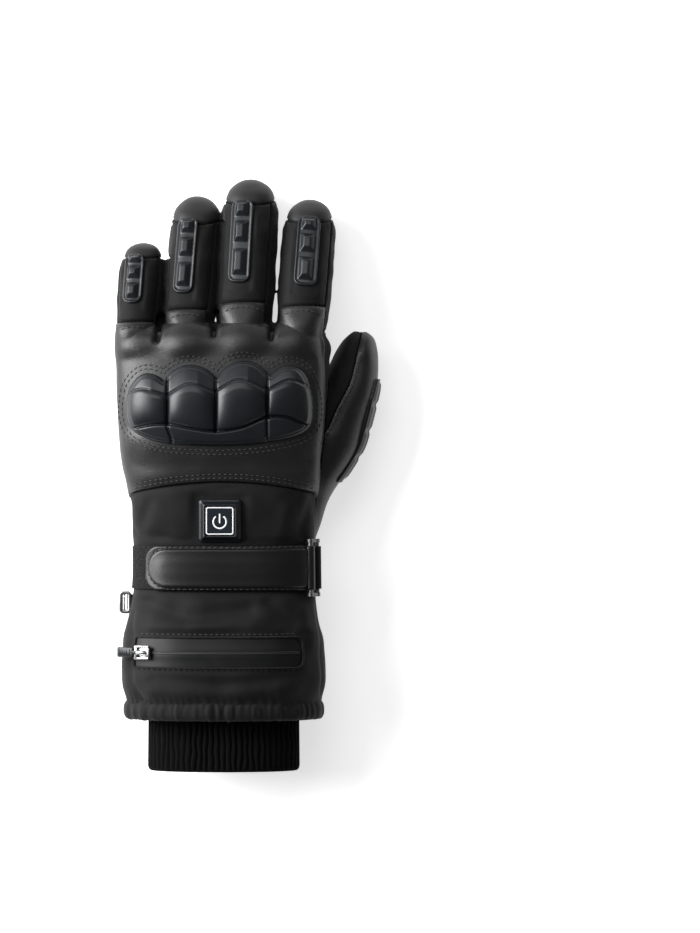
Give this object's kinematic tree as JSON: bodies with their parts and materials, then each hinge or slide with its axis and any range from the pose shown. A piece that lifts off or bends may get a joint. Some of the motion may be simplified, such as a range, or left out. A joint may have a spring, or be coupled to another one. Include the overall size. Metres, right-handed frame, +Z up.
{
  "type": "heated winter glove",
  "caption": "Padded left-hand winter glove with a gauntlet cuff, moulded knuckle and finger guards, wrist strap, zipped battery pocket, power button and ribbed knit cuff.",
  "frame": {"origin": "centre of the bounding box at its base, on the surface that the glove lies on", "axes": "+Y along the glove from the knit cuff to the fingertips, +Z up out of the back of the hand, +X towards the thumb; it lies palm down"},
  "size_m": [0.1496, 0.3328, 0.0694],
  "materials": {
    "softshell": "matte padded softshell cloth",
    "leather": "satin pebbled leather",
    "tip_cloth": "smooth stretch cloth",
    "guard_rubber": "satin moulded rubber",
    "grip_cloth": "cloth with a printed honeycomb grip",
    "rib_knit": "ribbed elastic knit",
    "loop_tape": "loop pile tape",
    "zip_tape": "water-repellent coated tape",
    "zip_teeth": "moulded coil",
    "button_print": "satin gloss cover with white print",
    "dark_ring": "dark satin lacquer",
    "nickel": "bright nickel"
  },
  "bodies": {
    "root": {"finger_little": "softshell", "finger_ring": "softshell", "finger_middle": "softshell", "finger_index": "softshell", "hand_body": "softshell", "gauntlet": "softshell", "hem_roll": "softshell", "ring_anchor": "softshell", "clip_webbing": "softshell", "back_panel": "leather", "thumb_stall": "leather", "wrist_strap": "leather", "tip_cap_little": "tip_cloth", "tip_cap_ring": "tip_cloth", "tip_cap_middle": "tip_cloth", "tip_cap_index": "tip_cloth", "knuckle_guard": "guard_rubber", "finger_guard_little": "guard_rubber", "finger_guard_ring": "guard_rubber", "finger_guard_middle": "guard_rubber", "finger_guard_index": "guard_rubber", "thumb_guard": "guard_rubber", "palm_slider": "guard_rubber", "button_base": "guard_rubber", "zip_pull": "guard_rubber", "grip_panel": "grip_cloth", "knit_cuff": "rib_knit", "strap_backing": "loop_tape", "zip_tape": "zip_tape", "zip_coil": "zip_teeth", "button_face": "button_print", "strap_ring": "dark_ring", "zip_slider": "nickel", "clip_hook": "nickel"}
  },
  "joints": []
}
